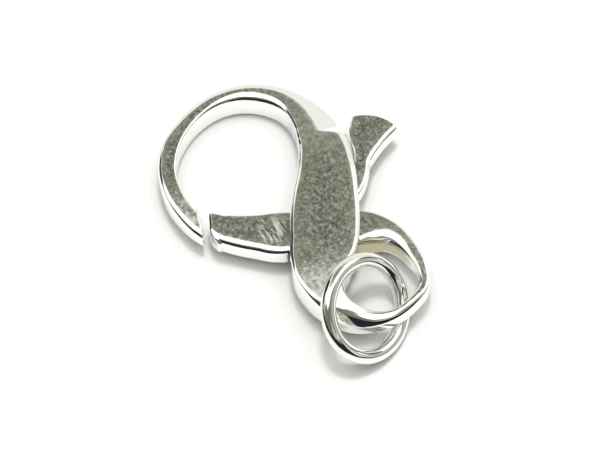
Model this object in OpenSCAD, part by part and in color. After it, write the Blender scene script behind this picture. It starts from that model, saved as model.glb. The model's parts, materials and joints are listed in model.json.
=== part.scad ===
// Lobster clasp: a cast figure-of-eight body, a thumb lever that closes its hook, the lever's pin
// and the jump ring in its tail loop. The pieces are drawn flat, with +X from hook to tail, and
// lie() then lays them on the floor, where the body leans on the ring under its tail.

/* [Body] */
// Radius of the hook loop, from its middle to its outer edge
hook_radius = 6.4; // [5.8:0.1:7.2]
// Radius of the tail loop, from its middle to its outer edge
tail_radius = 3.7; // [3.5:0.1:4.2]
// Distance between the middles of the two loops
loop_spacing = 11.1; // [10.6:0.1:12]
// Width of the band where it crosses over the other strand
band_width = 4.6; // [4.2:0.1:5.2]
// Thickness of the casting at the band
thickness = 3; // [2.8:0.1:3.6]
// Width of the narrow bevel along the edges
edge_bevel = 0.26; // [0.15:0.01:0.35]
// Rise of the flat faces at the middle of the ribbon
crown = 0.05; // [0.02:0.01:0.1]
// Bearing, from the middle of the hook loop, at which the hook ends
tip_bearing = -75; // [-80:1:-70]
// Angle between the hook's end face and a line to the middle of its loop
tip_slant = 46; // [44:1:60]

/* [Lever] */
// Thickness of the band above the lever
top_cheek = 0.65; // [0.5:0.05:0.8]
// Thickness of the body under the lever's hub
bottom_cheek = 0.75; // [0.6:0.05:0.9]
// Clearance between the lever and the slot above and below it
slot_play = 0.05; // [0.04:0.01:0.1]
// Clearance between the lever's hub and the slot round it
hub_play = 0.15; // [0.1:0.01:0.25]
// Height of the gate's underside above the body's underside
gate_lift = 0.5; // [0.1:0.05:0.6]
// Gap between the gate's end face and the outer corner of the hook's end
gate_gap = 0.13; // [0.1:0.01:0.25]
// Angle between the gate's end face and a line to the middle of the hook loop
gate_slant = 32; // [28:1:44]
// Radius of the lever's hub
hub_radius = 1.5; // [1.3:0.1:1.6]
// Widest angle to which the lever opens
open_angle = 22; // [15:1:22]
// Diameter of the pivot pin
pin_d = 1.2; // [1:0.05:1.4]
// Radial clearance of the lever's bore round the pin
pin_play = 0.04; // [0.02:0.01:0.06]
// Radial clearance of the body's bores round the pin, which is pressed into them
pin_fit = 0.01; // [0.01:0.005:0.02]
// Depth of the pin's ends below the bore's open end and short of its closed end
pin_recess = 0.1; // [0.05:0.01:0.15]

/* [Jump ring] */
// Inner diameter of the jump ring
ring_inner_d = 5.3; // [5.2:0.1:5.6]
// Diameter of the jump ring's wire
wire_d = 1.05; // [0.9:0.05:1.1]
// Gap left where the ring passes under the tail loop
ring_gap = 0.06; // [0.04:0.01:0.15]

/* [Hidden] */

steps = 4;
beyond = 1;
hook_mid = [0, 0];
tail_mid = [loop_spacing, 0];
pivot = [0.48 * loop_spacing, 0.17 * band_width];
slot_floor = bottom_cheek;
slot_roof = thickness - top_cheek;
bore_top = thickness - top_cheek / 2;
lever_floor = slot_floor + slot_play;
lever_top = slot_roof - slot_play;

// Underside of the tail's strand over the ring, as a share of thickness
tail_lift = 0.12;

// Front strand, a row for each section: from the hook's end over the band and round the tail loop.
// loop is 0 for the hook and 1 for the tail, bearing is in degrees from that loop's middle, reach is
// a share of its radius, width a share of band_width, top and bottom shares of thickness. rim is the
// bevel on the edge that faces the hook's opening and further on the outside, back is the bevel on
// the other edge, both as shares of edge_bevel.
// [loop, bearing, reach, width, top, bottom, rim, back]
FRONT = [
    [0,  -60, 0.915, 0.250, 0.74, 0.24, 1.0, 2.3],
    [0,  -80, 0.910, 0.255, 0.75, 0.22, 1.0, 2.2],
    [0,  -95, 0.910, 0.262, 0.77, 0.15, 1.0, 1.9],
    [0, -112, 0.925, 0.262, 0.78, 0.08, 1.0, 1.5],
    [0, -130, 0.940, 0.258, 0.79, 0.04, 1.0, 1.2],
    [0, -148, 0.935, 0.245, 0.80, 0.02, 1.0, 1.0],
    [0, -165, 0.925, 0.235, 0.80, 0.01, 1.1, 1.1],
    [0, -181, 0.920, 0.235, 0.80, 0.01, 1.3, 1.4],
    [0, -196, 0.915, 0.240, 0.81, 0.01, 1.8, 1.6],
    [0, -211, 0.902, 0.270, 0.82, 0.01, 2.2, 1.9],
    [0, -226, 0.880, 0.320, 0.83, 0.01, 2.3, 2.3],
    [0, -241, 0.855, 0.385, 0.85, 0.01, 2.0, 3.0],
    [0, -256, 0.820, 0.485, 0.88, 0.01, 1.6, 4.2],
    [0, -271, 0.775, 0.605, 0.92, 0.01, 1.2, 5.2],
    [0, -286, 0.735, 0.700, 0.96, 0.00, 1.0, 5.0],
    [0, -305, 0.710, 0.770, 0.99, 0.00, 1.0, 3.0],
    [0, -325, 0.735, 0.860, 1.00, 0.00, 1.0, 1.4],
    [0, -343, 0.815, 0.950, 1.00, 0.00, 1.0, 1.0],
    [0, -355, 0.940, 1.000, 1.00, 0.00, 1.0, 1.0],
    [1, -171, 1.080, 0.990, 0.998, 0.00, 1.0, 1.0],
    [1, -152, 0.965, 0.900, 0.990, 0.00, 1.0, 1.0],
    [1, -131, 0.910, 0.760, 0.972, 0.00, 1.0, 1.2],
    [1, -108, 0.885, 0.540, 0.930, 0.02, 1.4, 1.5],
    [1,  -86, 0.860, 0.375, 0.850, 0.06, 2.4, 1.2],
    [1,  -64, 0.835, 0.310, 0.74, 0.10, 3.2, 0.8],
    [1,  -40, 0.828, 0.205, 0.66, tail_lift, 2.5, 0.5],
    [1,  -14, 0.838, 0.138, 0.64, tail_lift, 1.6, 0.4],
    [1,   12, 0.862, 0.132, 0.65, 0.11, 1.3, 0.5]
];

// Under strand, which goes on from the front strand with the same columns, back under the band
UNDER = [
    [1,   36, 0.935, 0.150, 0.66, 0.10, 0.8, 0.8],
    [1,   58, 0.910, 0.168, 0.68, 0.08, 0.8, 1.1],
    [1,   80, 0.874, 0.220, 0.70, 0.06, 0.8, 2.3],
    [1,  100, 0.895, 0.270, 0.72, 0.04, 0.8, 2.8],
    [1,  118, 0.940, 0.352, 0.73, 0.03, 0.8, 3.0],
    [1,  134, 0.962, 0.468, 0.74, 0.02, 0.8, 2.7],
    [1,  149, 1.000, 0.550, 0.74, 0.02, 0.8, 1.8],
    [1,  163, 1.060, 0.560, 0.74, 0.02, 0.8, 1.0],
    [1,  175, 1.150, 0.500, 0.72, 0.03, 0.8, 0.8],
    [1,  182, 1.240, 0.450, 0.70, 0.03, 0.8, 0.8]
];

// Gate of the lever, from its end to the hub: bearing is from the middle of the hook loop, reach is
// a share of hook_radius, width a share of band_width, rim and back are shares of edge_bevel
// [bearing, reach, width, rim, back]
GATE = [
    [-93, 0.770, 0.09, 0.5, 0.5],
    [-86, 0.778, 0.18, 0.5, 0.8],
    [-79, 0.784, 0.31, 0.5, 1.4],
    [-71, 0.793, 0.43, 0.5, 2.1],
    [-62, 0.775, 0.48, 0.5, 2.3],
    [-52, 0.762, 0.53, 0.5, 2.3],
    [-42, 0.764, 0.58, 0.5, 2.3],
    [-32, 0.787, 0.65, 0.5, 2.2],
    [-22, 0.822, 0.66, 0.5, 1.8],
    [-12, 0.858, 0.59, 0.5, 1.0],
    [ -3, 0.890, 0.38, 0.5, 0.5]
];

// Neck and thumb tab of the lever, from the hub out: along and aside are measured from the pivot as
// shares of hook_radius, width is a share of band_width, rim and back are shares of edge_bevel
// [along, aside, width, rim, back]
THUMB = [
    [-0.020,  0.040, 0.28, 0.6, 0.6],
    [ 0.000,  0.170, 0.28, 0.6, 0.6],
    [ 0.020,  0.300, 0.30, 0.6, 0.6],
    [ 0.022,  0.405, 0.30, 0.8, 0.6],
    [-0.022,  0.508, 0.28, 0.8, 0.6],
    [-0.093,  0.609, 0.26, 0.9, 0.6],
    [-0.158,  0.707, 0.235, 1.2, 0.6],
    [-0.219,  0.800, 0.250, 1.7, 0.6],
    [-0.309,  0.897, 0.410, 1.9, 0.6],
    [-0.360,  0.978, 0.53, 1.9, 0.6],
    [-0.388,  1.076, 0.63, 1.7, 0.6],
    [-0.408,  1.193, 0.70, 1.5, 0.6]
];

// Slot under the band, in wedges round the pivot: bearings in degrees, outer radius as a share of
// hook_radius. The gate's wedge is open below, where its full depth swings.
// [from, to, outer]
NECK_SLOT = [[35, 113, 0.40], [46, 110, 0.72]];
GATE_SLOT = [-165, -77, 0.80];
// Angle kept between the gate's root and either side of its slot
root_play = 2;
// Round end of the thumb tab: its middle from the pivot and its radius, as shares of hook_radius
TAB_END = [-0.184, 0.810, 0.427];
// Radius round the pivot inside which the gate is cut down to the hub's depth
hub_step = 1.25 * (hub_radius + hub_play);

// How the ring hangs in the tail loop. Its middle lies off the tail's middle at ring_bearing and at
// ring_reach, a share of tail_radius, and its low side at ring_low_bearing.
ring_bearing = -54;
ring_reach = 0.658;
ring_low_bearing = 18;
ring_lean = 47;
// Length of wire on each side of its lowest place that lies under the strand, a share of band_width
ring_cover = 0.27;

// As it lies, the clasp rises towards rise_bearing, from the hook's far side to the ring's low side.
// It stands there on foot, a share of hook_radius from the middle of the hook.
rise_bearing = -18.6;
foot = 0.96;
foot_height = 0.01 * thickness;

function turned(a) = [cos(a), sin(a)];

// Rows of the tables as [x, y, width, top, bottom, rim, back] in millimetres
function body_row(r) =
    let (p = r[0] == 0 ? hook_mid + hook_radius * r[2] * turned(r[1])
                       : tail_mid + tail_radius * r[2] * turned(r[1]))
    [p.x, p.y, band_width * r[3], thickness * r[4], thickness * r[5], edge_bevel * r[6], edge_bevel * r[7]];
function gate_row(r) =
    let (p = hook_mid + hook_radius * r[1] * turned(r[0]))
    [p.x, p.y, band_width * r[2], lever_top - crown, gate_lift, edge_bevel * r[3], edge_bevel * r[4]];
function thumb_row(r) =
    let (p = pivot + hook_radius * [r[0], r[1]])
    [p.x, p.y, band_width * r[2], lever_top - crown, lever_floor, edge_bevel * r[3], edge_bevel * r[4]];

// Stations on the smooth curve through the rows
function blend(a, b, c, d, t) =
    0.5 * (2 * b + (c - a) * t + (2 * a - 5 * b + 4 * c - d) * t * t + (3 * b - a - 3 * c + d) * t * t * t);
function smooth(rows) =
    let (last = len(rows) - 1)
    [for (i = [0 : last - 1], k = [0 : steps - 1])
        blend(rows[max(i - 1, 0)], rows[i], rows[i + 1], rows[min(i + 2, last)], k / steps),
     rows[last]];

// Outline of a section as [across, height], with the rim edge at +across
function section(width, top, bottom, rim, back) =
    let (h = width / 2, fall = 0.7, bend = 0.35, rise = crown * (width - rim - back) / band_width)
    [[h, bottom + edge_bevel], [h, top - fall * rim], [h - bend * rim, top - bend * fall * rim],
     [h - rim, top], [(back - rim) / 2, top + rise], [back - h, top],
     [bend * back - h, top - bend * fall * back], [-h, top - fall * back], [-h, bottom + edge_bevel],
     [edge_bevel - h, bottom], [h - edge_bevel, bottom]];
section_size = len(section(1, 1, 0, 0.1, 0.1));

// Points of a strand, its sections square to the curve. side is 1 where the rim edge is on the right.
function strand_points(rows, side) =
    let (s = smooth(rows), last = len(s) - 1)
    [for (i = [0 : last])
        let (d = s[min(i + 1, last)] - s[max(i - 1, 0)], across = side * [d.y, -d.x] / norm([d.x, d.y]))
        for (q = section(s[i][2], s[i][3], s[i][4], s[i][5], s[i][6]))
            [s[i].x + across.x * q.x, s[i].y + across.y * q.x, q.y]];

function sections_of(points, from, to) =
    [for (i = [from * section_size : (to + 1) * section_size - 1]) points[i]];

body_points = strand_points([for (r = concat(FRONT, UNDER)) body_row(r)], 1);
// The curve is made as two strands, as it crosses itself, and they share one step of it
last_front = steps * (len(FRONT) - 1);
last_under = len(body_points) / section_size - 1;
front_points = sections_of(body_points, 0, last_front);
under_points = sections_of(body_points, last_front - 1, last_under);
gate_points = strand_points([for (r = GATE) gate_row(r)], -1);
thumb_points = strand_points([for (r = THUMB) thumb_row(r)], 1);

module strand(points, side) {
    n = section_size;
    count = len(points) / n;
    walls = [for (i = [0 : count - 2], j = [0 : n - 1])
        let (a = i * n + j, b = i * n + (j + 1) % n) each [[a, b, b + n], [a, b + n, a + n]]];
    ends = [[for (j = [n - 1 : -1 : 0]) j], [for (j = [0 : n - 1]) (count - 1) * n + j]];
    faces = concat(walls, ends);
    polyhedron(points, side > 0 ? faces : [for (f = faces) [for (k = [len(f) - 1 : -1 : 0]) f[k]]]);
}

// Everything on one side of a slanted plane by the hook's end, shifted by gap towards the gate
module past_tip(gap, sign, slant) {
    tip = hook_mid + hook_radius * turned(tip_bearing);
    size = 0.45 * hook_radius;
    translate([tip.x, tip.y, thickness / 2]) rotate([0, 0, tip_bearing + slant])
        translate([-size / 2, gap + sign * size / 2, 0])
            cube([2 * size, size, 2 * (thickness + beyond)], center = true);
}

module wedge(from, to, outer, low, high) {
    translate([pivot.x, pivot.y, low]) rotate([0, 0, from])
        rotate_extrude(angle = to - from, $fn = 96) square([outer, high - low]);
}

module on_pivot(low) {
    translate([pivot.x, pivot.y, low]) children();
}

module slot() {
    on_pivot(slot_floor) cylinder(r = hub_radius + hub_play, h = slot_roof - slot_floor, $fn = 96);
    for (w = NECK_SLOT) wedge(w[0], w[1], w[2] * hook_radius, slot_floor, slot_roof);
    wedge(GATE_SLOT[0], GATE_SLOT[1], GATE_SLOT[2] * hook_radius, slot_floor, slot_roof);
    difference() {
        wedge(GATE_SLOT[0], GATE_SLOT[1], GATE_SLOT[2] * hook_radius, -beyond, slot_floor + beyond / 2);
        on_pivot(-2 * beyond) cylinder(r = hub_step, h = thickness + 2 * beyond, $fn = 96);
    }
}

module body_flat() {
    difference() {
        union() {
            strand(front_points, 1);
            strand(under_points, 1);
        }
        past_tip(0, 1, tip_slant);
        slot();
        on_pivot(-beyond) cylinder(d = pin_d + 2 * pin_fit, h = bore_top + beyond, $fn = 64);
    }
}

module tab_flat() {
    intersection() {
        strand(thumb_points, 1);
        union() {
            on_pivot(0) translate(hook_radius * [TAB_END[0], TAB_END[1]])
                cylinder(r = TAB_END[2] * hook_radius, h = thickness, $fn = 96);
            on_pivot(0) cylinder(r = hook_radius, h = thickness, $fn = 96);
        }
    }
}

module gate_flat() {
    difference() {
        intersection() {
            strand(gate_points, -1);
            wedge(GATE_SLOT[0] + open_angle + root_play, GATE_SLOT[1] - root_play, 1.5 * hook_radius, 0, thickness);
        }
        past_tip(gate_gap, -1, gate_slant);
        on_pivot(-beyond) cylinder(r = hub_step + hub_play, h = lever_floor + beyond, $fn = 96);
    }
}

module lever_flat() {
    difference() {
        union() {
            gate_flat();
            tab_flat();
            on_pivot(lever_floor) cylinder(r = hub_radius, h = lever_top - lever_floor, $fn = 96);
        }
        on_pivot(-beyond) cylinder(d = pin_d + 2 * pin_play, h = thickness + 2 * beyond, $fn = 64);
    }
}

module pin_flat() {
    on_pivot(pin_recess) cylinder(d = pin_d, h = bore_top - 2 * pin_recess, $fn = 64);
}

ring_radius = (ring_inner_d + wire_d) / 2;
// The wire's top at its lowest place, where it passes under the tail's strand. The wire climbs on
// its way out from under the strand, over under_run, so it starts lower by that much.
under_run = ring_cover * band_width;
climb = ring_radius * sin(ring_lean) * (1 - cos(asin(under_run / ring_radius)));
wire_top = tail_lift * thickness - ring_gap - climb;
ring_mid = [each tail_mid + tail_radius * ring_reach * turned(ring_bearing),
            wire_top - wire_d / 2 + ring_radius * sin(ring_lean)];

module ring_flat() {
    translate(ring_mid) rotate([0, 0, ring_low_bearing]) rotate([0, ring_lean, 0])
        rotate_extrude($fn = 96) translate([ring_radius, 0]) circle(d = wire_d, $fn = 32);
}

// The clasp turns about its far foot until the ring's low side is as low as that foot
foot_point = hook_mid - foot * hook_radius * turned(rise_bearing);
ring_normal = [cos(ring_low_bearing) * sin(ring_lean), sin(ring_low_bearing) * sin(ring_lean), cos(ring_lean)];
ring_low = [ring_mid.x, ring_mid.y] + ring_radius * cos(ring_lean) * turned(ring_low_bearing);
rise_run = (ring_low - foot_point) * turned(rise_bearing);
rise = asin((wire_d - wire_top + foot_height) / rise_run);

function about_z(a, p) = [p.x * cos(a) - p.y * sin(a), p.x * sin(a) + p.y * cos(a), p.z];
function about_y(a, p) = [p.x * cos(a) + p.z * sin(a), p.y, p.z * cos(a) - p.x * sin(a)];
function tipped(p) = about_z(rise_bearing, about_y(-rise, about_z(-rise_bearing, p)));

// Lowest and highest coordinates of the tipped pieces, along each axis
tab_points = [for (p = thumb_points) if (norm([p.x, p.y] - pivot - hook_radius * [TAB_END[0], TAB_END[1]])
                                          < TAB_END[2] * hook_radius) p];
outer_points = [for (p = concat(body_points, tab_points)) tipped(p)];
ring_half = [for (c = tipped(ring_normal)) ring_radius * sqrt(1 - c * c) + wire_d / 2];
ring_centre = tipped(ring_mid);
low = [for (i = [0 : 2]) min(ring_centre[i] - ring_half[i], min([for (p = outer_points) p[i]]))];
high = [for (i = [0 : 2]) max(ring_centre[i] + ring_half[i], max([for (p = outer_points) p[i]]))];

module lie() {
    translate([-(low.x + high.x) / 2, -(low.y + high.y) / 2, -low.z])
        rotate([0, 0, rise_bearing]) rotate([0, -rise, 0]) rotate([0, 0, -rise_bearing])
            children();
}

module body() { color("silver") lie() body_flat(); }
module lever() { color("gainsboro") lie() lever_flat(); }
module pivot_pin() { color("darkgray") lie() pin_flat(); }
module jump_ring() { color("whitesmoke") lie() ring_flat(); }

body();
lever();
pivot_pin();
jump_ring();
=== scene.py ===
# Lobster clasp with its jump ring, in cast and drawn silver: its looks, floor, camera and light
import json
import math

import bmesh
import bpy
from mathutils import Matrix, Vector


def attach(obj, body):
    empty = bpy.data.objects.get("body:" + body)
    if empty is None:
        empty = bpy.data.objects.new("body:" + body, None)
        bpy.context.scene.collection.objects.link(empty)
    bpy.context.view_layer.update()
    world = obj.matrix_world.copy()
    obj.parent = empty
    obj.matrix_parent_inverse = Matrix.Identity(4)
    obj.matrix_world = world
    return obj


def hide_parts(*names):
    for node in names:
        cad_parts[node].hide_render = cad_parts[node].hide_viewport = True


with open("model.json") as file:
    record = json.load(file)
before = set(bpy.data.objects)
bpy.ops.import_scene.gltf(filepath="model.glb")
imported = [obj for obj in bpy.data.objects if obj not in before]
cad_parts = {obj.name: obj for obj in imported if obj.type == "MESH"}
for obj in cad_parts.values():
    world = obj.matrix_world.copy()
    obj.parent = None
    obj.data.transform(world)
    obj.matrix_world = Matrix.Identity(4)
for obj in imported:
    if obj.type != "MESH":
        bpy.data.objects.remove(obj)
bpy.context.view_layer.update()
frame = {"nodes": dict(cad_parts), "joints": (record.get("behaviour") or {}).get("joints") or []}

MM = 0.001

# Sizes of the clasp, as the solids have them: in millimetres, degrees and shares.
# The two loops and the band that crosses between them
HOOK_R = 6.4
TAIL_R = 3.7
SPACING = 11.1
BAND_W = 4.6
THICK = 3.0
TAIL_LIFT = 0.12
# The bevels' unit of width, and how much the band's face swells
EDGE = 0.26
CROWN = 0.05
# Where the hook ends, and the slants of its end and of the gate's
TIP_BEARING = -75
TIP_SLANT = 46
GATE_SLANT = 32
GATE_GAP = 0.13
# The slot in the band, and the lever in it
SLOT_FLOOR = 0.75
SLOT_ROOF = 2.35
LEVER_FLOOR = 0.8
LEVER_TOP = 2.3
GATE_LIFT = 0.5
OPEN_ANGLE = 22
ROOT_PLAY = 2
HUB_R = 1.5
HUB_PLAY = 0.15
HUB_STEP = 1.25 * (HUB_R + HUB_PLAY)
# The pin, its fit in the body, its play in the lever, and the metal over its end
PIN_R = 0.6
PIN_FIT = 0.01
PIN_PLAY = 0.04
PIN_COVER = 0.325
# The jump ring: its size, its place in the tail loop, and how it leans over the band's end
RING_R = 3.175
WIRE = 1.05
RING_BEARING = -54
RING_REACH = 0.658
RING_LOW_BEARING = 18
RING_LEAN = 47
RING_COVER = 0.27
RING_GAP = 0.06

HOOK = Vector((0, 0))
TAIL = Vector((SPACING, 0))
LOOPS = [(HOOK, HOOK_R), (TAIL, TAIL_R)]
PIVOT = Vector((0.48 * SPACING, 0.17 * BAND_W))

# Sectors cut for the neck, and the one for the gate: from and to a bearing at the pivot, out to a
# share of the hook's radius
NECK_SLOT = [(35, 113, 0.40), (46, 110, 0.72)]
GATE_SLOT = (-165, -77, 0.80)

# Front strand, a row for each section, from the hook's end over the band and round the tail loop:
# loop (0 hook, 1 tail), bearing in degrees, reach as a share of the loop's radius, width as a share
# of the band, top and bottom as shares of the thickness, rim and back bevels as shares of the edge
FRONT = [
    (0, -60, 0.915, 0.250, 0.74, 0.24, 0.5, 1.6),
    (0, -80, 0.910, 0.255, 0.75, 0.22, 0.5, 1.6),
    (0, -95, 0.910, 0.262, 0.77, 0.15, 0.5, 1.5),
    (0, -112, 0.925, 0.262, 0.78, 0.08, 0.45, 1.3),
    (0, -130, 0.940, 0.258, 0.79, 0.04, 0.45, 0.9),
    (0, -148, 0.935, 0.245, 0.80, 0.02, 0.45, 0.6),
    (0, -165, 0.925, 0.235, 0.80, 0.01, 0.5, 1.4),
    (0, -181, 0.920, 0.235, 0.80, 0.01, 0.7, 1.7),
    (0, -196, 0.915, 0.240, 0.81, 0.01, 1.2, 1.8),
    (0, -211, 0.902, 0.270, 0.82, 0.01, 1.8, 2.0),
    (0, -226, 0.880, 0.320, 0.83, 0.01, 1.9, 2.3),
    (0, -241, 0.855, 0.385, 0.85, 0.01, 1.6, 3.0),
    (0, -256, 0.820, 0.485, 0.88, 0.01, 0.7, 4.4),
    (0, -271, 0.775, 0.605, 0.92, 0.01, 0.7, 5.8),
    (0, -282, 0.745, 0.678, 0.95, 0.00, 0.8, 6.2),
    (0, -289, 0.731, 0.712, 0.966, 0.00, 0.9, 2.6),
    (0, -296, 0.721, 0.738, 0.978, 0.00, 0.9, 1.9),
    (0, -305, 0.710, 0.770, 0.99, 0.00, 1.0, 1.5),
    (0, -325, 0.735, 0.860, 1.00, 0.00, 1.0, 1.2),
    (0, -343, 0.815, 0.950, 1.00, 0.00, 1.0, 1.0),
    (0, -355, 0.940, 1.000, 1.00, 0.00, 1.0, 1.0),
    (1, -171, 1.080, 0.990, 0.998, 0.00, 1.0, 1.0),
    (1, -152, 0.965, 0.900, 0.990, 0.00, 1.0, 1.0),
    (1, -131, 0.910, 0.760, 0.972, 0.00, 1.0, 1.2),
    (1, -108, 0.885, 0.540, 0.930, 0.02, 1.4, 1.5),
    (1, -86, 0.860, 0.375, 0.850, 0.06, 2.4, 1.2),
    (1, -64, 0.835, 0.310, 0.74, 0.10, 3.2, 0.8),
    (1, -40, 0.828, 0.205, 0.66, TAIL_LIFT, 2.5, 0.5),
    (1, -14, 0.838, 0.138, 0.64, TAIL_LIFT, 1.6, 0.4),
    (1, 12, 0.862, 0.132, 0.65, 0.11, 1.3, 0.5),
]

# Under strand, which goes on from the front strand, back under the band
UNDER = [
    (1, 36, 0.935, 0.150, 0.66, 0.10, 0.8, 0.8),
    (1, 58, 0.910, 0.168, 0.68, 0.08, 0.8, 0.7),
    (1, 80, 0.874, 0.220, 0.70, 0.06, 0.8, 1.3),
    (1, 100, 0.895, 0.270, 0.72, 0.04, 0.8, 2.5),
    (1, 118, 0.940, 0.352, 0.73, 0.03, 0.8, 3.0),
    (1, 134, 0.962, 0.468, 0.74, 0.02, 0.8, 2.7),
    (1, 149, 1.000, 0.550, 0.74, 0.02, 0.8, 1.8),
    (1, 163, 1.060, 0.560, 0.74, 0.02, 0.8, 1.0),
    (1, 175, 1.150, 0.500, 0.72, 0.03, 0.8, 0.8),
    (1, 182, 1.240, 0.450, 0.70, 0.03, 0.8, 0.8),
]

# Gate, from its end to the hub: bearing, reach, width, rim, back
GATE = [
    (-93, 0.770, 0.09, 0.5, 0.5),
    (-86, 0.778, 0.18, 0.5, 0.8),
    (-79, 0.784, 0.31, 0.5, 1.4),
    (-71, 0.793, 0.43, 0.5, 1.7),
    (-62, 0.775, 0.48, 0.5, 1.8),
    (-52, 0.762, 0.53, 0.5, 1.8),
    (-42, 0.764, 0.58, 0.5, 1.8),
    (-32, 0.787, 0.65, 0.5, 1.8),
    (-22, 0.822, 0.66, 0.5, 1.5),
    (-12, 0.858, 0.59, 0.5, 1.0),
    (-3, 0.890, 0.38, 0.5, 0.5),
]

# Neck and thumb tab, from the hub out: along and aside from the pivot as shares of the hook's
# radius, width, rim, back
THUMB = [
    (-0.020, 0.040, 0.28, 0.6, 0.6),
    (0.000, 0.170, 0.28, 0.6, 0.6),
    (0.020, 0.300, 0.30, 0.6, 0.6),
    (0.022, 0.405, 0.30, 0.8, 0.6),
    (-0.010, 0.512, 0.28, 0.8, 0.6),
    (-0.066, 0.624, 0.25, 0.9, 0.6),
    (-0.135, 0.714, 0.25, 1.1, 0.6),
    (-0.190, 0.795, 0.32, 1.3, 0.5),
    (-0.254, 0.877, 0.45, 1.3, 0.5),
    (-0.311, 0.956, 0.555, 1.3, 0.5),
    (-0.353, 1.034, 0.62, 1.3, 0.5),
    (-0.390, 1.128, 0.68, 1.2, 0.5),
    (-0.416, 1.220, 0.71, 1.2, 0.5),
]

# The circle that the tab's top follows: along, aside and radius, in the same shares
TAB_END = (-0.184, 0.810, 0.443)

# A bevel falls in two facets, first gently and then steeply. The steep one's share of the width, by
# bearing: of the rim bevel on the tail loop, of the back bevel on the shoulder, and elsewhere.
STEEP = {-86: 0.50, -64: 0.60, -40: 0.42}
SHOULDER = {-256: 0.25, -271: 0.15, -282: 0.10}
SOFT = 0.35

# How far the gentle facet and the steep one fall for their width
GENTLE_FALL = 0.377
STEEP_FALL = 1.3

# The lower edge's bevel and how far its corners are rounded, in millimetres, and how far the upper
# bevel's three corners are rounded, as shares of its width
FOOT = 0.9 * EDGE
FOOT_ROUND = 0.4 * FOOT
BEVEL_ROUND = (0.15, 0.12, 0.14)

# Extra points on half of a section: on its flat bottom, as shares of the way out from the middle,
# and on its crown, as shares of the way in from the bevel
BOTTOM_POINTS = (0.4, 0.7, 0.9)
CROWN_POINTS = (0.1, 0.3, 0.6)

# Sections from one row to the next, points in a rounded corner, and the most of a side it takes
STEPS = 9
CORNER_POINTS = 4
CORNER_REACH = 0.45

# How the edge of a strand's end is filed: steps out to the end face and in from its rim, as shares
# of the edge
END_STEPS = ((0.15, 0.01), (0.75, 0.42), (0.92, 0.6), (1.0, 0.8), (1.0, 1.0))

# How wide the filed edges are in millimetres, on the ends of the hook, gate and tab, and on the hub
HOOK_END_EDGE = 0.16
GATE_END_EDGE = 0.2
TAB_END_EDGE = 0.12
HUB_EDGE = 0.06

# The slanting cut at the outer corner of the hook's end and of the gate's: how far inside the corner
# it passes, and how softly it meets the end. One that passes outside rounds the corner alone.
HOOK_CUT = -0.1
GATE_CUT = 0.0
CUT_SOFTNESS = 0.3

# Sides of a full circle, steps of a sector, and heights in millimetres under and over the clasp
ROUND_SIDES = 128
SECTOR_STEPS = 48
BELOW = -1
OVER = THICK + 1

# How the solids were laid down: the hinge's axis is the flat drawing's vertical, turned
hinge = frame["joints"][0]
upright = -Vector(hinge["axis"])
lean = Vector((0, 0, 1)).rotation_difference(upright).to_matrix().to_4x4()
LAID = (
    Matrix.Translation(Vector(hinge["pos_m"]))
    @ lean
    @ Matrix.Translation(-Vector((PIVOT.x, PIVOT.y, (SLOT_FLOOR + SLOT_ROOF) / 2)) * MM)
)


def turned(bearing):
    """The flat direction at a bearing in degrees."""
    a = math.radians(bearing)
    return Vector((math.cos(a), math.sin(a)))


def station(place, width, top, bottom, rim, back, steep=SOFT, slack=SOFT):
    """A section's place and sizes in millimetres, and the steep shares of its two bevels."""
    return [place.x, place.y, BAND_W * width, top, bottom, EDGE * rim, EDGE * back, steep, slack]


def body_station(row):
    loop, bearing, reach, width, top, bottom, rim, back = row
    middle, radius = LOOPS[loop]
    place = middle + radius * reach * turned(bearing)
    steep, slack = STEEP.get(bearing, SOFT), SHOULDER.get(bearing, SOFT)
    return station(place, width, THICK * top, THICK * bottom, rim, back, steep, slack)


def gate_station(row):
    bearing, reach, width, rim, back = row
    place = HOOK + HOOK_R * reach * turned(bearing)
    return station(place, width, LEVER_TOP - CROWN, GATE_LIFT, rim, back)


def thumb_station(row):
    along, aside, width, rim, back = row
    place = PIVOT + HOOK_R * Vector((along, aside))
    return station(place, width, LEVER_TOP - CROWN, LEVER_FLOOR, rim, back)


def between(p, q, r, s, t):
    """The smooth curve's value a share t of the way from q to r, with p before and s after them."""
    slope = (r - p) * t
    bend = (2 * p - 5 * q + 4 * r - s) * t * t
    twist = (3 * q - p - 3 * r + s) * t ** 3
    return 0.5 * (2 * q + slope + bend + twist)


def smooth(rows):
    """Stations on the smooth curve through the rows."""
    out = []
    last = len(rows) - 1
    for i in range(last):
        four = rows[max(i - 1, 0)], rows[i], rows[i + 1], rows[min(i + 2, last)]
        for k in range(STEPS):
            out.append([between(*values, k / STEPS) for values in zip(*four)])
    out.append(list(rows[last]))
    return out


def eased(corners, reach):
    """The outline with each corner but the first and last rounded over reach on either side."""
    out = [corners[0]]
    for a, b, c, r in zip(corners, corners[1:], corners[2:], reach):
        a, b, c = Vector(a), Vector(b), Vector(c)
        start = b + (a - b).normalized() * min(r, (a - b).length * CORNER_REACH)
        end = b + (c - b).normalized() * min(r, (c - b).length * CORNER_REACH)
        for k in range(CORNER_POINTS):
            s = k / (CORNER_POINTS - 1)
            out.append(tuple(start * (1 - s) ** 2 + b * 2 * s * (1 - s) + end * s * s))
    out.append(corners[-1])
    return out


def filled(half):
    """The half outline with points added along its flat bottom and over the low crown of its top."""
    foot, first, last, peak = half[0], half[1], half[-2], half[-1]
    bottom = [(first[0] * s, foot[1]) for s in BOTTOM_POINTS]
    crown = [
        (last[0] + (peak[0] - last[0]) * s, last[1] + (peak[1] - last[1]) * (1 - (1 - s) ** 2))
        for s in CROWN_POINTS
    ]
    return [foot] + bottom + half[1:-1] + crown + [peak]


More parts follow.
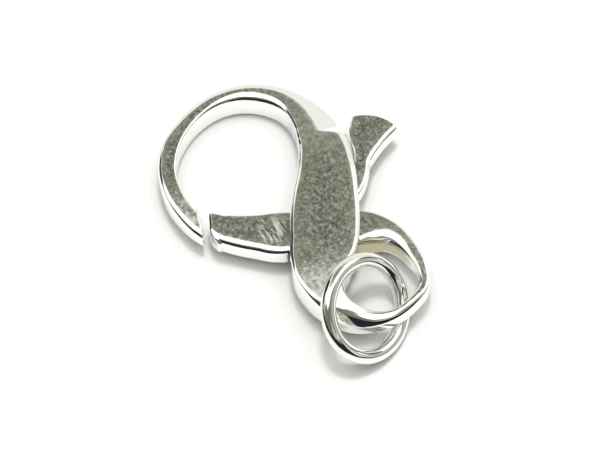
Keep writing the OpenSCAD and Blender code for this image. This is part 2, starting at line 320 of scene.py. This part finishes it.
def bevelled(half_width, top, bottom, edge, steep, peak):
    """Half of a section's outline: bottom, foot, wall, the bevel's two facets and peak."""
    knee = GENTLE_FALL * (1 - steep) * edge
    corners = [
        (0, bottom),
        (half_width - FOOT, bottom),
        (half_width, bottom + FOOT),
        (half_width, top - knee - STEEP_FALL * steep * edge),
        (half_width - steep * edge, top - knee),
        (half_width - edge, top),
        peak,
    ]
    return filled(eased(corners, [FOOT_ROUND, FOOT_ROUND] + [r * edge for r in BEVEL_ROUND]))


def section(width, top, bottom, rim, back, steep, slack):
    """Rounded outline of a section as (across, height), with the rim bevel at +across."""
    middle = (back - rim) / 2
    rise = CROWN * max(width - rim - back, 0) / BAND_W
    right = bevelled(width / 2, top, bottom, rim, steep, (middle, top + rise))
    left = bevelled(width / 2, top, bottom, back, slack, (-middle, top + rise))
    left = [(-x, z) for x, z in left]
    return right + left[-2:0:-1]


def rings_of(rows, side):
    """Sections square to the curve through the rows, as lists of points, with the rim at side."""
    stations = smooth(rows)
    last = len(stations) - 1
    rings = []
    for i, s in enumerate(stations):
        a, b = stations[max(i - 1, 0)], stations[min(i + 1, last)]
        d = Vector((b[0] - a[0], b[1] - a[1])).normalized()
        across = side * Vector((d.y, -d.x))
        rings.append([
            Vector((s[0] + across.x * x, s[1] + across.y * x, z)) for x, z in section(*s[2:])
        ])
    return rings


def slope_at(distance, p, nudge=0.01):
    """The flat direction in which the distance grows fastest."""
    return Vector((
        distance(p + Vector((nudge, 0, 0))) - distance(p),
        distance(p + Vector((0, nudge, 0))) - distance(p),
        0,
    )).normalized()


def ended(rings, beyond, edge, rings_before=3, least_spans=4):
    """The rings cut off where beyond(point) turns positive, with an end face filed off at its edge.

    beyond is a signed distance. The strand runs towards the end that is cut. The sections slant
    round to the cut from rings_before the first that it meets, in least_spans or more."""
    count = len(rings[0])

    def crossing(j):
        """How far along the rings point j comes within the edge of the cut."""
        for i in range(len(rings) - 1):
            a, b = beyond(rings[i][j]) + edge, beyond(rings[i + 1][j]) + edge
            if a <= 0 < b:
                return i + a / (a - b)
        return len(rings) - 1.001  # a hair short of the last ring

    def along(j, s):
        i = min(int(s), len(rings) - 2)
        return rings[i][j].lerp(rings[i + 1][j], s - i)

    stops = [crossing(j) for j in range(count)]
    first = max(int(min(stops)) - rings_before, 0)
    kept = [list(ring) for ring in rings[: first + 1]]
    spans = max(least_spans, int(max(stops) - first))
    for k in range(1, spans + 1):
        kept.append([along(j, first + (stops[j] - first) * k / spans) for j in range(count)])
    rim = kept[-1]
    middle = sum(rim, Vector()) / count
    for out, down in END_STEPS:
        ring = []
        for p in rim:
            slope = slope_at(beyond, p)
            inward = middle - p
            inward -= inward.dot(slope) * slope
            ring.append(p + slope * edge * out + inward.normalized() * edge * down)
        kept.append(ring)
    return kept


def end_strips(made, row):
    """Closes a strand's end with strips that run between its top and its bottom."""
    n = len(row)
    for turn in (1, -1):
        for i in range((n // 2 + 1) // 2):
            low, high = row[turn * i % n], row[(n // 2 - turn * i) % n]
            low_next, high_next = row[turn * (i + 1) % n], row[(n // 2 - turn * (i + 1)) % n]
            strip = [low, low_next, high_next, high]
            if low_next == high_next:
                strip.pop(2)
            if low_next != high:
                made.faces.new(strip)


def closed_skin(name, outlines, strips=False):
    """A closed skin through outlines of equal counts, with flat ends or ends of strips."""
    made = bmesh.new()
    rows = [[made.verts.new(p) for p in outline] for outline in outlines]
    n = len(rows[0])
    for a, b in zip(rows, rows[1:]):
        for j in range(n):
            k = (j + 1) % n
            made.faces.new((a[j], a[k], b[k], b[j]))
    if strips:
        end_strips(made, rows[0])
        end_strips(made, rows[-1])
    else:
        made.faces.new(reversed(rows[0]))
        made.faces.new(rows[-1])
    bmesh.ops.recalc_face_normals(made, faces=made.faces)
    mesh = bpy.data.meshes.new(name)
    made.to_mesh(mesh)
    made.free()
    return mesh


def disc(name, radius, low, high, edge=0.0):
    """A cylinder round the pivot, with its edges softened where an edge is given."""
    profile = [(radius, low), (radius, high)]
    if edge:
        inner = radius - edge
        profile = [(inner, low), (radius, low + edge), (radius, high - edge), (inner, high)]
    angles = [2 * math.pi * k / ROUND_SIDES for k in range(ROUND_SIDES)]
    return closed_skin(name, [
        [(PIVOT.x + r * math.cos(a), PIVOT.y + r * math.sin(a), z) for a in angles] for r, z in profile
    ])


def wedge(name, start, end, radius, low, high):
    """A sector round the pivot, between two bearings."""
    bearings = [start + (end - start) * k / SECTOR_STEPS for k in range(SECTOR_STEPS + 1)]
    outline = [PIVOT] + [PIVOT + radius * turned(bearing) for bearing in bearings]
    return closed_skin(name, [[(p.x, p.y, z) for p in outline] for z in (low, high)])


def new_object(name, data):
    """An object at the origin, in the scene."""
    made = bpy.data.objects.new(name, data)
    bpy.context.scene.collection.objects.link(made)
    return made


def settled(piece):
    """Makes what the piece's modifiers give its own mesh."""
    bpy.context.view_layer.update()
    graph = bpy.context.evaluated_depsgraph_get()
    mesh = bpy.data.meshes.new_from_object(piece.evaluated_get(graph))
    piece.modifiers.clear()
    piece.data = mesh


def combined(piece, meshes, how):
    """Joins, cuts or trims the piece with meshes, one after another."""
    for mesh in meshes:
        tool = new_object("tool", mesh)
        step = piece.modifiers.new("step", "BOOLEAN")
        step.solver = "MANIFOLD"
        step.operation = how
        step.object = tool
        settled(piece)
        bpy.data.objects.remove(tool)


def laid(piece):
    """Scales the flat drawing to metres and lays it as the solids lie."""
    piece.data.transform(LAID @ Matrix.Scale(MM, 4))


def softened(piece, weld=0.0002, crease=38):
    """Welds points within weld millimetres, shades smooth and keeps creases of that many degrees."""
    made = bmesh.new()
    made.from_mesh(piece.data)
    bmesh.ops.remove_doubles(made, verts=made.verts, dist=weld * MM)
    for face in made.faces:
        face.smooth = True
    made.to_mesh(piece.data)
    made.free()
    piece.data.set_sharp_from_angle(angle=math.radians(crease))


def past_tip(rings, gap, sign, slant, cut, close=0.1):
    """Signed distance past the slanted plane in which the hook or the gate ends.

    The end's outer corner is cut in by cut and rounded. It is found from the points of the rings
    that are close to the plane."""
    tip = HOOK_R * turned(TIP_BEARING)
    normal = turned(TIP_BEARING + slant + 90)
    outward = turned(TIP_BEARING + slant)

    def past_plane(p):
        return sign * ((p.to_2d() - tip).dot(normal) - gap)

    def out_from_tip(p):
        return (p.to_2d() - tip).dot(outward)

    corner = max(out_from_tip(p) for ring in rings for p in ring if abs(past_plane(p)) < close)

    def distance(p):
        flat = past_plane(p)
        slope = (flat + out_from_tip(p) - corner + cut) * math.sqrt(0.5)
        return (flat + slope + math.hypot(flat - slope, CUT_SOFTNESS)) / 2

    return distance


def past_tab(p):
    """Signed distance past the circle of the tab's top, on the tab's side of the pivot."""
    flat = p.to_2d()
    along, aside, radius = TAB_END
    middle = PIVOT + HOOK_R * Vector((along, aside))
    return min((flat - middle).length - radius * HOOK_R, (flat - PIVOT).length - HOOK_R)


def cast_body(hook_rings=60, into_slot=0.5):
    """Hook, band and tail loop, with the slot for the lever and the bore for the pin.

    The hook's corner is found from its last hook_rings alone, as the tail meets its plane too. The
    way under the gate is cut from below up into the slot."""
    rings = rings_of([body_station(row) for row in FRONT + UNDER], 1)
    shared = STEPS * (len(FRONT) - 1)
    front = rings[: shared + 1][::-1]
    hook_cut = past_tip(front[-hook_rings:], 0, 1, TIP_SLANT, HOOK_CUT)
    front = ended(front, hook_cut, HOOK_END_EDGE)
    piece = new_object("clasp_body", closed_skin("front_strand", front, strips=True))
    combined(piece, [closed_skin("under_strand", rings[shared - 1:], strips=True)], "UNION")
    start, end, reach = GATE_SLOT
    radius = reach * HOOK_R
    slots = [disc("hub_slot", HUB_R + HUB_PLAY, SLOT_FLOOR, SLOT_ROOF)]
    slots += [wedge("neck_slot", a, b, r * HOOK_R, SLOT_FLOOR, SLOT_ROOF) for a, b, r in NECK_SLOT]
    slots += [wedge("gate_slot", start, end, radius, SLOT_FLOOR, SLOT_ROOF)]
    combined(piece, slots, "DIFFERENCE")
    sector = wedge("way_under", start, end, radius, BELOW, SLOT_FLOOR + into_slot)
    way = new_object("way_under", sector)
    combined(way, [disc("hub_floor", HUB_STEP, BELOW - 1, THICK)], "DIFFERENCE")
    combined(piece, [way.data], "DIFFERENCE")
    bpy.data.objects.remove(way)
    combined(piece, [disc("pin_bore", PIN_R + PIN_FIT, BELOW, THICK - PIN_COVER)], "DIFFERENCE")
    laid(piece)
    softened(piece)
    return piece


def cast_lever(root_reach=1.5):
    """Gate, hub, neck and thumb tab, with the bore for the pin.

    The gate's root is trimmed to the sector that stays in its slot as the gate opens, root_reach
    times the hook's radius long, and stepped over the floor under the hub."""
    gate = rings_of([gate_station(row) for row in GATE], -1)[::-1]
    gate = ended(gate, past_tip(gate, GATE_GAP, -1, GATE_SLANT, GATE_CUT), GATE_END_EDGE)
    piece = new_object("clasp_lever", closed_skin("gate", gate, strips=True))
    start = GATE_SLOT[0] + OPEN_ANGLE + ROOT_PLAY
    end = GATE_SLOT[1] - ROOT_PLAY
    combined(piece, [wedge("root", start, end, root_reach * HOOK_R, BELOW, OVER)], "INTERSECT")
    combined(piece, [disc("hub_way", HUB_STEP + HUB_PLAY, BELOW, LEVER_FLOOR)], "DIFFERENCE")
    thumb = ended(rings_of([thumb_station(row) for row in THUMB], 1), past_tab, TAB_END_EDGE)
    hub = disc("hub", HUB_R, LEVER_FLOOR, LEVER_TOP, HUB_EDGE)
    combined(piece, [closed_skin("thumb", thumb, strips=True), hub], "UNION")
    combined(piece, [disc("lever_bore", PIN_R + PIN_PLAY, BELOW, OVER)], "DIFFERENCE")
    laid(piece)
    softened(piece)
    return piece


def srgb(code):
    """Linear colour of an sRGB hex code."""
    parts = [int(code[i:i + 2], 16) / 255 for i in (0, 2, 4)]
    return tuple(c / 12.92 if c <= 0.04045 else ((c + 0.055) / 1.055) ** 2.4 for c in parts) + (1,)


def add(tree, kind, settings=None, links=None):
    """Adds a node, sets its properties and inputs, and links inputs to other nodes' outputs."""
    node = tree.nodes.new(kind)
    for key, value in (settings or {}).items():
        if isinstance(key, int) or key in node.inputs:
            node.inputs[key].default_value = value
        else:
            setattr(node, key, value)
    for key, source in (links or {}).items():
        if source:
            tree.links.new(source, node.inputs[key])
    return node


def bare_material(name):
    """A material with an empty node tree."""
    material = bpy.data.materials.new(name)
    material.use_nodes = True
    material.node_tree.nodes.clear()
    return material


def bent_wire():
    """Geometry nodes that bend a round wire into a closed ring, and the identifiers of their inputs."""
    tree = bpy.data.node_groups.new("bent_wire", "GeometryNodeTree")
    tree.interface.new_socket("Geometry", in_out="OUTPUT", socket_type="NodeSocketGeometry")
    inputs = {
        name: tree.interface.new_socket(name, in_out="INPUT", socket_type=kind).identifier
        for name, kind in (
            ("Ring radius", "NodeSocketFloat"),
            ("Wire radius", "NodeSocketFloat"),
            ("Finish", "NodeSocketMaterial"),
        )
    }
    given = add(tree, "NodeGroupInput").outputs
    circle = "GeometryNodeCurvePrimitiveCircle"
    path = add(tree, circle, {"Resolution": 240}, {"Radius": given["Ring radius"]})
    wire = add(tree, circle, {"Resolution": 48}, {"Radius": given["Wire radius"]})
    curves = {"Curve": path.outputs["Curve"], "Profile Curve": wire.outputs["Curve"]}
    tube = add(tree, "GeometryNodeCurveToMesh", None, curves)
    shaded = add(tree, "GeometryNodeSetShadeSmooth", None, {0: tube.outputs["Mesh"]})
    real = add(tree, "GeometryNodeRealizeInstances", None, {0: shaded.outputs[0]})
    finish = {"Geometry": real.outputs[0], "Material": given["Finish"]}
    finished = add(tree, "GeometryNodeSetMaterial", None, finish)
    add(tree, "NodeGroupOutput", None, {0: finished.outputs[0]})
    return tree, inputs


def bent_ring(finish):
    """The jump ring, leaning in the tail loop, under the tail's strand and over the band's end."""
    piece = new_object("jump_ring", bpy.data.meshes.new("jump_ring"))
    bending = piece.modifiers.new("bending", "NODES")
    bending.node_group, given = bent_wire()
    bending[given["Ring radius"]] = RING_R
    bending[given["Wire radius"]] = WIRE / 2
    bending[given["Finish"]] = finish
    settled(piece)
    lifted = RING_R * math.sin(math.radians(RING_LEAN))
    climb = lifted * (1 - math.sqrt(1 - (RING_COVER * BAND_W / RING_R) ** 2))
    wire_top = TAIL_LIFT * THICK - RING_GAP - climb
    flat = TAIL + TAIL_R * RING_REACH * turned(RING_BEARING)
    piece.data.transform(
        Matrix.Translation((flat.x, flat.y, wire_top - WIRE / 2 + lifted))
        @ Matrix.Rotation(math.radians(RING_LOW_BEARING), 4, "Z")
        @ Matrix.Rotation(math.radians(RING_LEAN), 4, "Y")
    )
    laid(piece)
    return piece


# The casting's marks, as how many there are to a millimetre. A fine file's strokes would be closer
# than these, and wouldn't show at the picture's size.
SWELLS_PER_MM = 0.7
DENTS_PER_MM = 4.6
PITS_PER_MM = 1.9
CLOUDS_PER_MM = 2.6
STROKES_PER_MM = 7.5

# Their depths
SWELL = 0.025 * MM
DENT = 0.008 * MM
PIT = 0.006 * MM
STROKE = 0.008 * MM

# Roughness of the burnished metal, and what rubbing and file strokes add to it
BURNISHED = 0.07
DULLER = 0.34
STROKE_HAZE = 0.32

# A face counts as flat from the lower cosine of its tilt, and wholly from the higher
TILT_EDGE = 0.955
TILT_FLAT = 0.985

# File strokes: their turn in degrees, how many times longer than wide they are, and how far from
# their middle they lie thick and end
STROKE_TURN = -12
STROKE_STRETCH = 10.0
FILED_WHOLE = 0.6 * MM
FILED_GONE = 1.2 * MM

# Tarnish and painted shade: how near to the tail loop's middle it is whole and how far from it it is
# gone, so that it lies on the inner wall, and how far to one side of the middle it starts and is whole
WALL_WHOLE = 2.72 * MM
WALL_GONE = 2.84 * MM
SIDE_STARTS = 0.3 * MM
SIDE_WHOLE = 0.9 * MM

# The wire's ripples from drawing, and the rubs on its polish
RIPPLES_PER_MM = 0.9
RUBS_PER_MM = 2.6
RIPPLE = 0.02 * MM


def near(tree, place, point, whole, gone):
    """1 within whole metres of the point and 0 beyond gone metres."""
    apart = {"operation": "DISTANCE", 1: point}
    away = add(tree, "ShaderNodeVectorMath", apart, {0: place}).outputs["Value"]
    fading = {
        "interpolation_type": "SMOOTHSTEP",
        "From Min": whole,
        "From Max": gone,
        "To Min": 1.0,
        "To Max": 0.0,
    }
    return add(tree, "ShaderNodeMapRange", fading, {"Value": away}).outputs["Result"]


def flat_faces(tree, normal):
    """1 on the casting's flat upper faces and 0 on its bevels and walls."""
    along = {"operation": "DOT_PRODUCT", 1: upright}
    tilt = add(tree, "ShaderNodeVectorMath", along, {0: normal}).outputs["Value"]
    level = {"interpolation_type": "SMOOTHSTEP", "From Min": TILT_EDGE, "From Max": TILT_FLAT}
    return add(tree, "ShaderNodeMapRange", level, {"Value": tilt}).outputs["Result"]


def file_marks(tree, place, middle):
    """1 in the strokes that a file has left round a place."""
    turn = {
        "vector_type": "TEXTURE",
        "Rotation": (0, 0, math.radians(STROKE_TURN)),
        "Scale": (STROKE_STRETCH, 1.0, 1.0),
    }
    drawn = add(tree, "ShaderNodeMapping", turn, {"Vector": place}).outputs["Vector"]
    noise = {"Scale": STROKES_PER_MM / MM, "Detail": 0.0}
    strokes = add(tree, "ShaderNodeTexNoise", noise, {"Vector": drawn}).outputs["Fac"]
    cuts = add(tree, "ShaderNodeMapRange", {"From Min": 0.53, "From Max": 0.66}, {"Value": strokes})
    here = near(tree, place, middle, FILED_WHOLE, FILED_GONE)
    both = {0: cuts.outputs["Result"], 1: here}
    return add(tree, "ShaderNodeMath", {"operation": "MULTIPLY"}, both).outputs["Value"]


def filmed(tree, clouds, flats):
    """The colour of silver with a thin film on its flat faces, in clouds."""
    spread = {"From Min": 0.38, "From Max": 0.62}
    bare = add(tree, "ShaderNodeMapRange", spread, {"Value": clouds}).outputs["Result"]
    bare = add(tree, "ShaderNodeMath", {"operation": "SUBTRACT", 1: 1.0}, {0: bare}).outputs["Value"]
    level = {"operation": "MULTIPLY_ADD", 2: 1.0}
    bare = add(tree, "ShaderNodeMath", level, {0: bare, 1: flats}).outputs["Value"]
    colours = {"data_type": "RGBA", 6: srgb(FILMED), 7: srgb(BARE)}
    return add(tree, "ShaderNodeMix", colours, {0: bare}).outputs[2]


def tarnish_and_painted_shade(tree, place, tone, middle, side):
    """The tone with yellow tarnish and painted shade over it on one side of a loop's inner wall."""
    along = {"operation": "DOT_PRODUCT", 1: side}
    across = add(tree, "ShaderNodeVectorMath", along, {0: place}).outputs["Value"]
    level = middle.dot(side)
    fading = {
        "interpolation_type": "SMOOTHSTEP",
        "From Min": level + SIDE_STARTS,
        "From Max": level + SIDE_WHOLE,
    }
    that_side = add(tree, "ShaderNodeMapRange", fading, {"Value": across}).outputs["Result"]
    both = {0: that_side, 1: near(tree, place, middle, WALL_WHOLE, WALL_GONE)}
    share = add(tree, "ShaderNodeMath", {"operation": "MULTIPLY"}, both).outputs["Value"]
    # Yellow of tarnish, which is also painted shade on the loop's inner wall
    yellow_and_shade = {"data_type": "RGBA", 7: srgb(TARNISH_AND_SHADE)}
    return add(tree, "ShaderNodeMix", yellow_and_shade, {0: share, 6: tone}).outputs[2]


def dulled(tree, place, clouds, flats, gloss, rubbed):
    """The roughness with worn places added, in clouds and on flat faces only."""
    spread = {"From Min": 0.25, "From Max": 0.75, "To Min": 0.0, "To Max": DULLER}
    dull = add(tree, "ShaderNodeMapRange", spread, {"Value": clouds}).outputs["Result"]
    dull = add(tree, "ShaderNodeMath", {"operation": "MULTIPLY"}, {0: dull, 1: flats}).outputs["Value"]
    for point, whole, gone in rubbed:
        worn = {0: near(tree, place, point, whole, gone), 1: dull, 2: gloss}
        gloss = add(tree, "ShaderNodeMath", {"operation": "MULTIPLY_ADD"}, worn).outputs["Value"]
    return gloss


# Colours of silver: bare, under a thin film, yellowed by tarnish and painted shade, drawn and
# polished, and drawn alone
BARE = "FDFCF9"
FILMED = "DBDAD0"
# Yellow of tarnish and of painted shade, for the tail loop's inner wall
TARNISH_AND_SHADE = "CBC5A8"
POLISHED = "F4F3EE"
DRAWN = "DADAD2"


def cast_silver(name, rubbed=(), filed_at=None, shaded_tarnish=None):
    """Sterling silver, cast in lost wax and tumbled bright.

    The mould leaves soft swells about 1.5 mm across. The bevels and walls are burnished and mirror
    the room. The flat faces are dented and pitted in spots of 0.2 to 0.5 mm, and a thin film lies
    on them in clouds, which makes them a frosty grey. rubbed lists places that are worn dull, with
    the distances within which they are whole and beyond which they are gone. filed_at is the middle
    of the file marks. The last argument gives a loop's middle and a direction: the loop's inner wall
    on that side is painted yellow, as tarnish and as painted shade."""
    material = bare_material(name)
    tree = material.node_tree
    coordinates = add(tree, "ShaderNodeTexCoord").outputs
    place = coordinates["Object"]
    flats = flat_faces(tree, coordinates["Normal"])
    swelling = {"Scale": SWELLS_PER_MM / MM, "Detail": 1.0}
    swells = add(tree, "ShaderNodeTexNoise", swelling, {"Vector": place}).outputs["Fac"]
    dented = {"Scale": DENTS_PER_MM / MM, "Detail": 1.5, "Roughness": 0.55}
    dents = add(tree, "ShaderNodeTexNoise", dented, {"Vector": place}).outputs["Fac"]
    cells = add(tree, "ShaderNodeTexVoronoi", {"Scale": PITS_PER_MM / MM}, {"Vector": place})
    cloudy = {"Scale": CLOUDS_PER_MM / MM, "Detail": 3.0, "Roughness": 0.65}
    clouds = add(tree, "ShaderNodeTexNoise", cloudy, {"Vector": place}).outputs["Fac"]
    pit = {"interpolation_type": "SMOOTHSTEP", "From Min": 0.04, "From Max": 0.2}
    pits = add(tree, "ShaderNodeMapRange", pit, {"Value": cells.outputs["Distance"]})
    hazy = {"From Min": 0.3, "From Max": 0.7, "To Min": 0.03, "To Max": 0.23}
    haze = add(tree, "ShaderNodeMapRange", hazy, {"Value": dents}).outputs["Result"]
    level = {"operation": "MULTIPLY_ADD", 2: BURNISHED}
    gloss = add(tree, "ShaderNodeMath", level, {0: haze, 1: flats}).outputs["Value"]
    if rubbed:
        gloss = dulled(tree, place, clouds, flats, gloss, rubbed)
    reliefs = [(swells, SWELL, None), (dents, DENT, flats), (pits.outputs["Result"], PIT, flats)]
    if filed_at:
        marks = file_marks(tree, place, filed_at)
        reliefs.append((marks, STROKE, None))
        level = {"operation": "MULTIPLY_ADD", 1: STROKE_HAZE}
        gloss = add(tree, "ShaderNodeMath", level, {0: marks, 2: gloss}).outputs["Value"]
    normal = None
    for height, depth, where in reliefs:
        bump = {"Strength": 1.0, "Distance": depth}
        links = {"Height": height, "Normal": normal, "Strength": where}
        normal = add(tree, "ShaderNodeBump", bump, links).outputs["Normal"]
    tone = filmed(tree, clouds, flats)
    # Yellow tarnish and painted shade on one inner wall of a loop
    if shaded_tarnish:
        tone = tarnish_and_painted_shade(tree, place, tone, *shaded_tarnish)
    surface = {"Base Color": tone, "Roughness": gloss, "Normal": normal}
    shader = add(tree, "ShaderNodeBsdfPrincipled", {"Metallic": 1.0}, surface)
    add(tree, "ShaderNodeOutputMaterial", None, {"Surface": shader.outputs["BSDF"]})
    return material


def drawn_silver(name, colour, low, high):
    """Silver wire, drawn through a plate: glossy, with faint ripples and rubs, low to high in gloss."""
    material = bare_material(name)
    tree = material.node_tree
    place = add(tree, "ShaderNodeTexCoord").outputs["Object"]
    rippled = {"Scale": RIPPLES_PER_MM / MM, "Detail": 2.0}
    ripples = add(tree, "ShaderNodeTexNoise", rippled, {"Vector": place}).outputs["Fac"]
    relief = add(tree, "ShaderNodeBump", {"Strength": 1.0, "Distance": RIPPLE}, {"Height": ripples})
    rubbing = {"Scale": RUBS_PER_MM / MM, "Detail": 3.0}
    rubs = add(tree, "ShaderNodeTexNoise", rubbing, {"Vector": place})
    spread = {"From Min": 0.3, "From Max": 0.7, "To Min": low, "To Max": high}
    gloss = add(tree, "ShaderNodeMapRange", spread, {"Value": rubs.outputs["Fac"]})
    metal = {"Metallic": 1.0, "Base Color": srgb(colour)}
    surface = {"Roughness": gloss.outputs["Result"], "Normal": relief.outputs["Normal"]}
    shader = add(tree, "ShaderNodeBsdfPrincipled", metal, surface)
    add(tree, "ShaderNodeOutputMaterial", None, {"Surface": shader.outputs["BSDF"]})
    return material


# Body: hook, band and tail loop in one casting
body = cast_body()
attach(body, "case")
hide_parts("body")

# Lever: gate, hub, neck and thumb tab in one casting
lever = cast_lever()
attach(lever, "gate")
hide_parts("lever")

# Jump ring: wire, drawn, bent and polished
bright = drawn_silver("drawn_silver_polished", POLISHED, 0.03, 0.08)
ring = bent_ring(bright)
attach(ring, "case")
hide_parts("jump_ring")


def on_clasp(x, y, z):
    """A place of the flat drawing, in millimetres, on the clasp as it lies."""
    return LAID @ (Vector((x, y, z)) * MM)


# Where the silver is worn: the hook's end by the gate, the band's end by the jump ring, and the
# gate's root, where the file has been. Inside the tail loop, one inner wall is painted yellow, as
# tarnish and as painted shade.
body_rubs = [
    (on_clasp(0.5, -5.8, 2.3), 1.2 * MM, 3.2 * MM),
    (on_clasp(10.1, -3.1, 2.7), 0.6 * MM, 3.0 * MM),
]
filed = on_clasp(4.1, -2.55, LEVER_TOP)
# Middle and side of the tail loop's inner wall that is painted yellow, as tarnish and as shade
tail_middle = on_clasp(TAIL.x, TAIL.y, 1.2)
tail_side = LAID.to_3x3() @ turned(95).to_3d()
finishes = [
    (body, cast_silver("cast_silver_tumbled", body_rubs, shaded_tarnish=(tail_middle, tail_side))),
    (lever, cast_silver("cast_silver_filed", filed_at=filed)),
    (frame["nodes"]["pivot_pin"], drawn_silver("drawn_silver_pin", DRAWN, 0.2, 0.35)),
    (ring, bright),
]
for piece, finish in finishes:
    piece.data.materials.clear()
    piece.data.materials.append(finish)

# Floor: a plain pale sweep of matt paper under the clasp, which the lamps light to white
FLOOR_HALF = 0.6
corners = [(x * FLOOR_HALF, y * FLOOR_HALF, 0) for x, y in ((-1, -1), (1, -1), (1, 1), (-1, 1))]
floor_mesh = bpy.data.meshes.new("floor")
floor_mesh.from_pydata(corners, [], [(0, 1, 2, 3)])
floor = new_object("floor", floor_mesh)
paper = bare_material("white_sweep")
matt = {"Base Color": srgb("BCBCBA"), "Roughness": 0.9}
pulp = add(paper.node_tree, "ShaderNodeBsdfPrincipled", matt)
add(paper.node_tree, "ShaderNodeOutputMaterial", None, {"Surface": pulp.outputs["BSDF"]})
floor.data.materials.append(paper)

# Camera: where the photo was taken from, with a long lens. Its heading and height in degrees, what
# it aims at and how wide it sees in metres, and its lens and sensor in millimetres.
HEADING = math.radians(46.8)
HEIGHT = math.radians(65)
AIM = Vector((-0.286, -1.199, 0)) * MM
VIEW_WIDTH = 40 * MM
LENS = 400
SENSOR = 36

scene = bpy.context.scene
north = Vector((-math.sin(HEADING), math.cos(HEADING), 0))
east = Vector((math.cos(HEADING), math.sin(HEADING), 0))
above = Vector((0, 0, 1))
towards = above * math.sin(HEIGHT) - north * math.cos(HEIGHT)
eye = bpy.data.cameras.new("camera")
eye.lens = LENS
eye.sensor_width = SENSOR
eye.clip_start = 0.02
eye.clip_end = 10
camera = new_object("camera", eye)
camera.location = AIM + towards * (VIEW_WIDTH * LENS / SENSOR)
camera.rotation_mode = "QUATERNION"
camera.rotation_quaternion = towards.to_track_quat("Z", "Y")
scene.camera = camera

# What stands round the table, as the metal shows it: bearing from the way up in the picture and
# height over the horizon in degrees, the reach to which it fades and the reach within which it is
# whole, and its colour
ROOM = [
    # Dark stands on the camera's side, and a lighter edge between them
    (-148, 20, 46, 40, (0.13, 0.13, 0.11)),
    (165, 40, 30, 24, (0.12, 0.12, 0.09)),
    (122, 46, 26, 18, (0.15, 0.15, 0.12)),
    (150, 30, 20, 6, (0.38, 0.38, 0.34)),
    # The far wall, and a cupboard at its right
    (0, 0, 62, 48, (0.58, 0.59, 0.555)),
    (64, 18, 14, 8, (0.10, 0.10, 0.09)),
    # Curtains on the left and the right
    (-97, 24, 26, 14, (0.36, 0.35, 0.31)),
    (94, 26, 24, 14, (0.32, 0.32, 0.30)),
    # The foot and the leg of the lamp stand
    (-64, 2, 32, 26, (0.02, 0.02, 0.02)),
    (-61, 35, 14, 8, (0.03, 0.03, 0.03)),
]

# Dark low ground on the camera's side, in two stretches: bearing, reach and whole reach
GROUND = [(167, 62, 50), (-125, 36, 26)]
GROUND_COLOUR = (0.012, 0.012, 0.02)

# The table's edge all round, the grey frame over the far side that the flat faces mirror, and the
# lens hood in the middle of what they mirror
EDGE_COLOUR = (0.05, 0.05, 0.055)
FRAME_COLOUR = (0.168, 0.174, 0.134)
HOOD_COLOUR = (0.05, 0.05, 0.045)

# The table's edge and the ground, as the sines of the heights at which they are gone and whole
EDGE_HEIGHTS = (0.16, 0.11)
GROUND_HEIGHTS = (0.42, 0.33)
WORLD_STRENGTH = 1.5

world = bpy.data.worlds.new("studio")
scene.world = world
world.use_nodes = True
sky = world.node_tree
sky.nodes.clear()
direction = add(sky, "ShaderNodeTexCoord").outputs["Generated"]


def way(bearing, height):
    """The direction at a bearing from north and a height over the horizon, in degrees."""
    b, up = math.radians(bearing), math.radians(height)
    return (north * math.cos(b) + east * math.sin(b)) * math.cos(up) + above * math.sin(up)


def looking(aim_way, gone, whole):
    """Goes from 0 to 1 as the cosine between a way and the way looked goes from gone to whole."""
    along = {"operation": "DOT_PRODUCT", 1: aim_way}
    share = add(sky, "ShaderNodeVectorMath", along, {0: direction}).outputs["Value"]
    fading = {"interpolation_type": "SMOOTHSTEP", "From Min": gone, "From Max": whole}
    return add(sky, "ShaderNodeMapRange", fading, {"Value": share}).outputs["Result"]


def patch(aim_way, outer, inner):
    """1 within inner degrees of a way and 0 beyond outer degrees."""
    return looking(aim_way, math.cos(math.radians(outer)), math.cos(math.radians(inner)))


def low_ground(bearing, outer, inner):
    """1 on a stretch of ground."""
    both = {0: looking(above, *GROUND_HEIGHTS), 1: patch(way(bearing, 0), outer, inner)}
    return add(sky, "ShaderNodeMath", {"operation": "MULTIPLY"}, both).outputs["Value"]


# World: white walls, with each of these laid over what comes before it
mirrored = 2 * towards.dot(upright) * upright - towards
layers = [(looking(above, *EDGE_HEIGHTS), EDGE_COLOUR)]
layers += [(patch(way(b, up), outer, inner), colour) for b, up, outer, inner, colour in ROOM]
layers += [(low_ground(*stretch), GROUND_COLOUR) for stretch in GROUND]
layers += [(patch(way(-10, 57), 34, 3), FRAME_COLOUR), (patch(mirrored, 5, 2), HOOD_COLOUR)]
shade = add(sky, "ShaderNodeRGB").outputs[0]
shade.default_value = (1, 1, 1, 1)
for mask, colour in layers:
    laid_over = {"data_type": "RGBA", 7: colour + (1,)}
    shade = add(sky, "ShaderNodeMix", laid_over, {0: mask, 6: shade}).outputs[2]
lit = add(sky, "ShaderNodeBackground", {"Strength": WORLD_STRENGTH}, {"Color": shade})
add(sky, "ShaderNodeOutputWorld", None, {"Surface": lit.outputs["Background"]})

# Lamps over the table: a wide soft box, and a small one that leans to the far side. Height in
# degrees at the far side's bearing, size and distance in metres, and power. The metal doesn't
# mirror them, as the room stands for all that it shows.
LAMPS = [
    ("soft_box", 90, 0.50, 2.1),
    ("spot_box", 83, 0.06, 1.0),
]
LAMP_DISTANCE = 0.4
for name, height, size, power in LAMPS:
    lamp = bpy.data.lights.new(name, "AREA")
    lamp.shape = "DISK"
    lamp.size = size
    lamp.energy = power
    box = new_object(name, lamp)
    spot = way(0, height)
    box.location = spot * LAMP_DISTANCE
    box.rotation_mode = "QUATERNION"
    box.rotation_quaternion = spot.to_track_quat("Z", "Y")
    box.visible_glossy = False

scene.view_settings.view_transform = "Standard"
scene.view_settings.look = "None"
scene.view_settings.exposure = 0
scene.view_settings.gamma = 1
